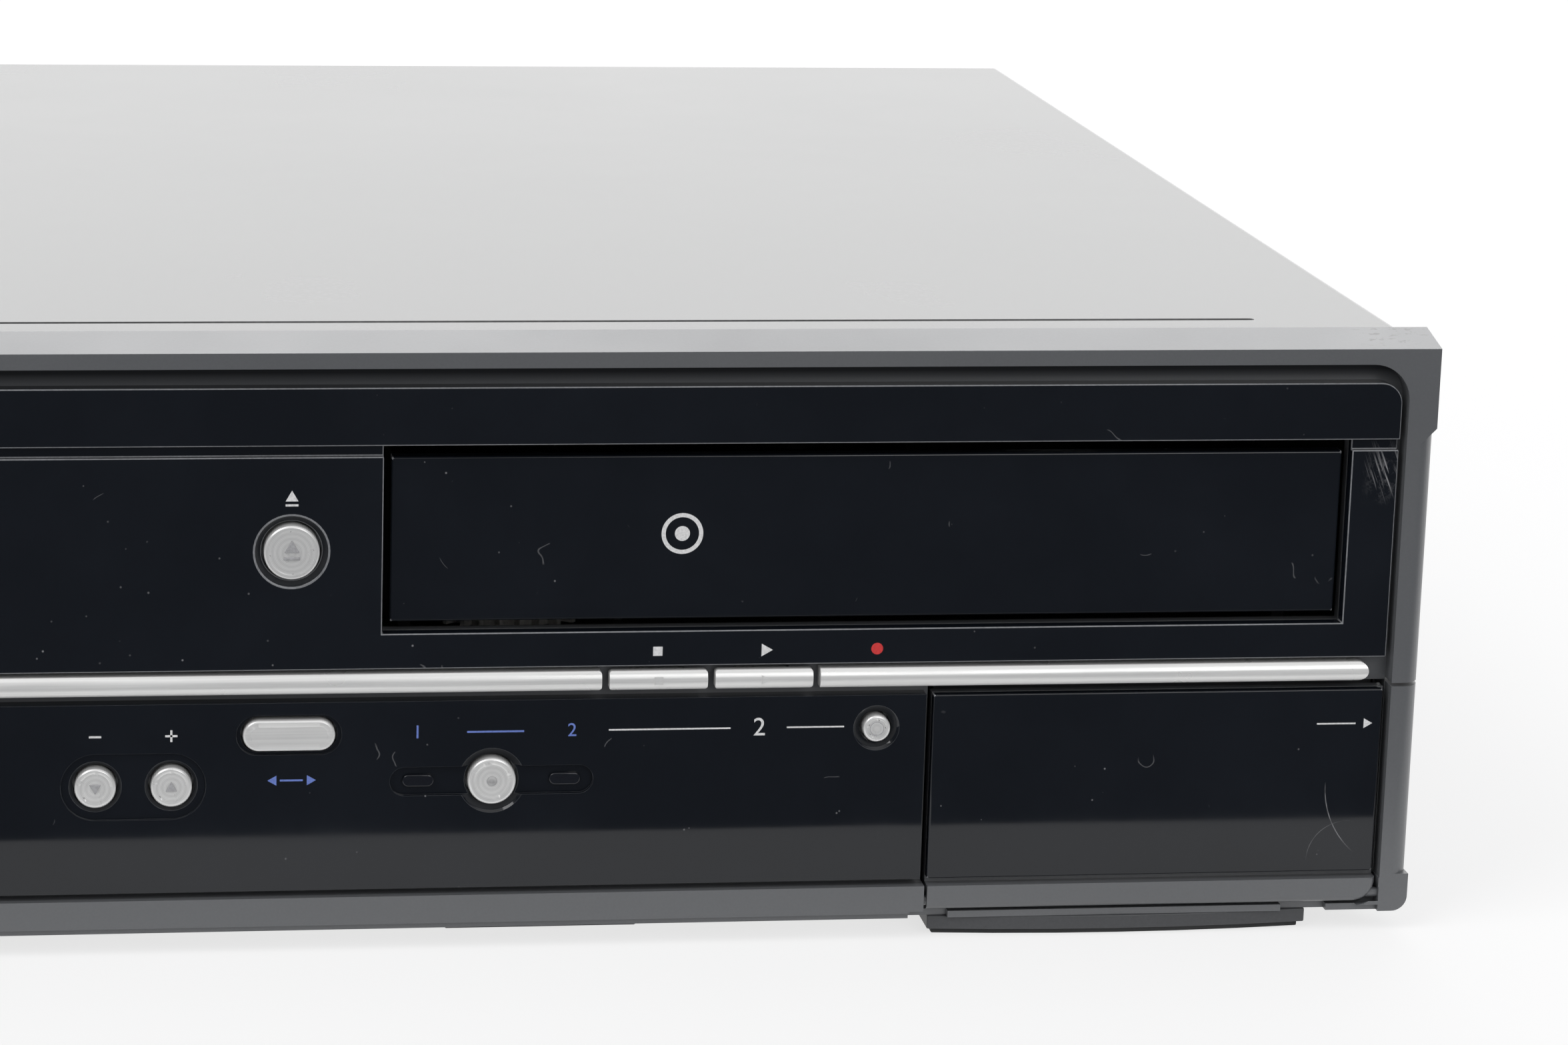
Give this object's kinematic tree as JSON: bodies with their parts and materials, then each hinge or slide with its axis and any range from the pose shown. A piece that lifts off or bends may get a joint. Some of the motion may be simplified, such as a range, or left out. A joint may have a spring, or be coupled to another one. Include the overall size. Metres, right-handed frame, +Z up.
{
  "type": "disc and tape combination player",
  "caption": "Living-room disc and video tape player with a sliding disc tray, sprung cassette door, jack flap, push buttons and silver trim bar.",
  "frame": {"origin": "middle of the footprint, on the surface the feet stand on", "axes": "+X right as seen from the front, front faces -Y, +Z up"},
  "size_m": [0.435, 0.306, 0.0985],
  "materials": {
    "cover_paint": "satin black paint",
    "bezel_plastic": "fine satin dark grey",
    "gloss_fascia": "high gloss near-black",
    "silver_trim": "satin silver plating",
    "zinc_steel": "zinc plated",
    "rear_paint": "matt black paint",
    "black_screw": "black oxide",
    "black_plastic": "matt black",
    "smoked_window": "smoked clear",
    "display_glass": "display glass",
    "board_green": "circuit board",
    "white_plastic": "natural acetal",
    "motor_steel": "plain",
    "drum_alloy": "turned and polished",
    "roller_rubber": "ground rubber",
    "foot_plastic": "soft foot",
    "socket_plastic": "moulded socket"
  },
  "bodies": {
    "machine": {"chassis_pan": "zinc_steel", "top_cover": "cover_paint", "rear_panel": "rear_paint", "cover_screws": "black_screw", "feet": "foot_plastic", "bezel_upper": "bezel_plastic", "bezel_lower": "bezel_plastic", "fascia_upper": "gloss_fascia", "fascia_lower": "gloss_fascia", "trim_bars": "silver_trim", "front_jack_panel": "black_plastic", "display_window": "smoked_window", "control_board": "board_green", "display_module": "display_glass", "main_board": "board_green", "power_board": "board_green", "loader_frame": "black_plastic", "clamp_bridge": "zinc_steel", "loading_motor": "motor_steel", "deck_chassis": "zinc_steel", "drum_base": "drum_alloy", "rca_sockets": "socket_plastic", "scart_sockets": "socket_plastic", "hdmi_socket": "motor_steel", "tuner_can": "motor_steel", "mains_inlet": "black_plastic"},
    "power_button_body": {"power_button": "silver_trim"},
    "tape_eject_button_body": {"tape_eject_button": "silver_trim"},
    "disc_open_button_body": {"disc_open_button": "silver_trim"},
    "channel_up_button_body": {"channel_up_button": "silver_trim"},
    "channel_down_button_body": {"channel_down_button": "silver_trim"},
    "select_button_body": {"select_button": "silver_trim"},
    "disc_record_button_body": {"disc_record_button": "silver_trim"},
    "tape_record_button_body": {"tape_record_button": "silver_trim"},
    "dubbing_button_body": {"dubbing_button": "silver_trim"},
    "tape_play_button_body": {"tape_play_button": "silver_trim"},
    "tape_stop_button_body": {"tape_stop_button": "silver_trim"},
    "disc_stop_button_body": {"disc_stop_button": "silver_trim"},
    "disc_play_button_body": {"disc_play_button": "silver_trim"},
    "cassette_door_body": {"cassette_door": "gloss_fascia"},
    "jack_flap_body": {"jack_flap": "bezel_plastic", "jack_flap_panel": "gloss_fascia"},
    "tray": {"disc_tray": "black_plastic", "tray_front": "gloss_fascia"},
    "loading_gear_body": {"loading_gear": "white_plastic"},
    "motor_pinion_body": {"motor_pinion": "white_plastic"},
    "clamper_body": {"disc_clamper": "white_plastic"},
    "traverse": {"traverse_chassis": "zinc_steel", "pickup_rails": "motor_steel", "spindle_motor": "motor_steel"},
    "turntable_body": {"turntable": "black_plastic"},
    "pickup_body": {"optical_pickup": "drum_alloy"},
    "carriage": {"carriage_slider": "zinc_steel"},
    "holder": {"cassette_holder": "zinc_steel"},
    "drum_body": {"head_drum": "drum_alloy"},
    "capstan_body": {"capstan": "motor_steel"},
    "pinch_arm_body": {"pinch_arm": "white_plastic"},
    "pinch_roller_body": {"pinch_roller": "roller_rubber"},
    "supply_reel_body": {"supply_reel": "white_plastic"},
    "takeup_reel_body": {"takeup_reel": "white_plastic"}
  },
  "joints": [
    {"name": "power_press", "type": "slide", "parent": "machine", "child": "power_button_body", "axis": [0, 1, 0], "range_m": [0, 0.0008], "stiffness_N_per_m": 400, "springref_m": -0.0005},
    {"name": "tape_eject_press", "type": "slide", "parent": "machine", "child": "tape_eject_button_body", "axis": [0, 1, 0], "range_m": [0, 0.0008], "stiffness_N_per_m": 400, "springref_m": -0.0005},
    {"name": "disc_open_press", "type": "slide", "parent": "machine", "child": "disc_open_button_body", "axis": [0, 1, 0], "range_m": [0, 0.0008], "stiffness_N_per_m": 400, "springref_m": -0.0005},
    {"name": "channel_up_press", "type": "slide", "parent": "machine", "child": "channel_up_button_body", "axis": [0, 1, 0], "range_m": [0, 0.0008], "stiffness_N_per_m": 400, "springref_m": -0.0005},
    {"name": "channel_down_press", "type": "slide", "parent": "machine", "child": "channel_down_button_body", "axis": [0, 1, 0], "range_m": [0, 0.0008], "stiffness_N_per_m": 400, "springref_m": -0.0005},
    {"name": "select_press", "type": "slide", "parent": "machine", "child": "select_button_body", "axis": [0, 1, 0], "range_m": [0, 0.0008], "stiffness_N_per_m": 400, "springref_m": -0.0005},
    {"name": "disc_record_press", "type": "slide", "parent": "machine", "child": "disc_record_button_body", "axis": [0, 1, 0], "range_m": [0, 0.0008], "stiffness_N_per_m": 400, "springref_m": -0.0005},
    {"name": "tape_record_press", "type": "slide", "parent": "machine", "child": "tape_record_button_body", "axis": [0, 1, 0], "range_m": [0, 0.0008], "stiffness_N_per_m": 400, "springref_m": -0.0005},
    {"name": "dubbing_press", "type": "slide", "parent": "machine", "child": "dubbing_button_body", "axis": [0, 1, 0], "range_m": [0, 0.0008], "stiffness_N_per_m": 400, "springref_m": -0.0005},
    {"name": "tape_play_press", "type": "slide", "parent": "machine", "child": "tape_play_button_body", "axis": [0, 1, 0], "range_m": [0, 0.0008], "stiffness_N_per_m": 400, "springref_m": -0.0005},
    {"name": "tape_stop_press", "type": "slide", "parent": "machine", "child": "tape_stop_button_body", "axis": [0, 1, 0], "range_m": [0, 0.0008], "stiffness_N_per_m": 400, "springref_m": -0.0005},
    {"name": "disc_stop_press", "type": "slide", "parent": "machine", "child": "disc_stop_button_body", "axis": [0, 1, 0], "range_m": [0, 0.0008], "stiffness_N_per_m": 400, "springref_m": -0.0005},
    {"name": "disc_play_press", "type": "slide", "parent": "machine", "child": "disc_play_button_body", "axis": [0, 1, 0], "range_m": [0, 0.0008], "stiffness_N_per_m": 400, "springref_m": -0.0005},
    {"name": "cassette_door_hinge", "type": "hinge", "parent": "machine", "child": "cassette_door_body", "pos_m": [-0.1069, -0.1464, 0.084], "axis": [1, 0, 0], "range_deg": [0, 88], "stiffness_Nm_per_rad": 0.004, "springref_deg": -34.38},
    {"name": "jack_flap_hinge", "type": "hinge", "parent": "machine", "child": "jack_flap_body", "pos_m": [0.175, -0.1517, 0.0062], "axis": [1, 0, 0], "range_deg": [0, 90]},
    {"name": "tray_slide", "type": "slide", "parent": "machine", "child": "tray", "axis": [0, -1, 0], "range_m": [0, 0.138]},
    {"name": "loading_gear_spin", "type": "hinge", "parent": "machine", "child": "loading_gear_body", "pos_m": [0.07295, -0.115, 0.05], "axis": [0, 0, 1], "continuous": true},
    {"name": "motor_pinion_spin", "type": "hinge", "parent": "machine", "child": "motor_pinion_body", "pos_m": [0.0921, -0.115, 0.048], "axis": [0, 0, 1], "continuous": true},
    {"name": "clamper_spin", "type": "hinge", "parent": "machine", "child": "clamper_body", "pos_m": [0.1273, -0.071, 0.074], "axis": [0, 0, 1], "continuous": true},
    {"name": "traverse_tilt", "type": "hinge", "parent": "machine", "child": "traverse", "pos_m": [0.1273, 0.021, 0.047], "axis": [1, 0, 0], "range_deg": [0, 3.5]},
    {"name": "turntable_spin", "type": "hinge", "parent": "traverse", "child": "turntable_body", "pos_m": [0.1273, -0.071, 0.06], "axis": [0, 0, 1], "continuous": true},
    {"name": "pickup_slide", "type": "slide", "parent": "traverse", "child": "pickup_body", "axis": [0, 1, 0], "range_m": [0, 0.036]},
    {"name": "carriage_in", "type": "slide", "parent": "machine", "child": "carriage", "axis": [0, 1, 0], "range_m": [0, 0.03]},
    {"name": "holder_down", "type": "slide", "parent": "carriage", "child": "holder", "axis": [0, 0, -1], "range_m": [0, 0.0185]},
    {"name": "drum_spin", "type": "hinge", "parent": "machine", "child": "drum_body", "pos_m": [-0.1069, 0.033, 0.0316], "axis": [0.0872, 0, 0.9962], "continuous": true},
    {"name": "capstan_spin", "type": "hinge", "parent": "machine", "child": "capstan_body", "pos_m": [-0.0489, 0.019, 0.04], "axis": [0, 0, 1], "continuous": true},
    {"name": "pinch_arm_swing", "type": "hinge", "parent": "machine", "child": "pinch_arm_body", "pos_m": [-0.0319, 0.043, 0.04], "axis": [0, 0, -1], "range_deg": [0, 28]},
    {"name": "pinch_roller_spin", "type": "hinge", "parent": "pinch_arm_body", "child": "pinch_roller_body", "pos_m": [-0.02695, 0.01341, 0.05], "axis": [0, 0, 1], "continuous": true},
    {"name": "supply_reel_spin", "type": "hinge", "parent": "machine", "child": "supply_reel_body", "pos_m": [-0.1529, -0.045, 0.04], "axis": [0, 0, 1], "continuous": true},
    {"name": "takeup_reel_spin", "type": "hinge", "parent": "machine", "child": "takeup_reel_body", "pos_m": [-0.0609, -0.045, 0.04], "axis": [0, 0, 1], "continuous": true}
  ],
  "couplings": [
    {"joint": "loading_gear_spin", "follows": "tray_slide", "rad_per_m": 166.67},
    {"joint": "motor_pinion_spin", "follows": "tray_slide", "rad_per_m": -625}
  ]
}
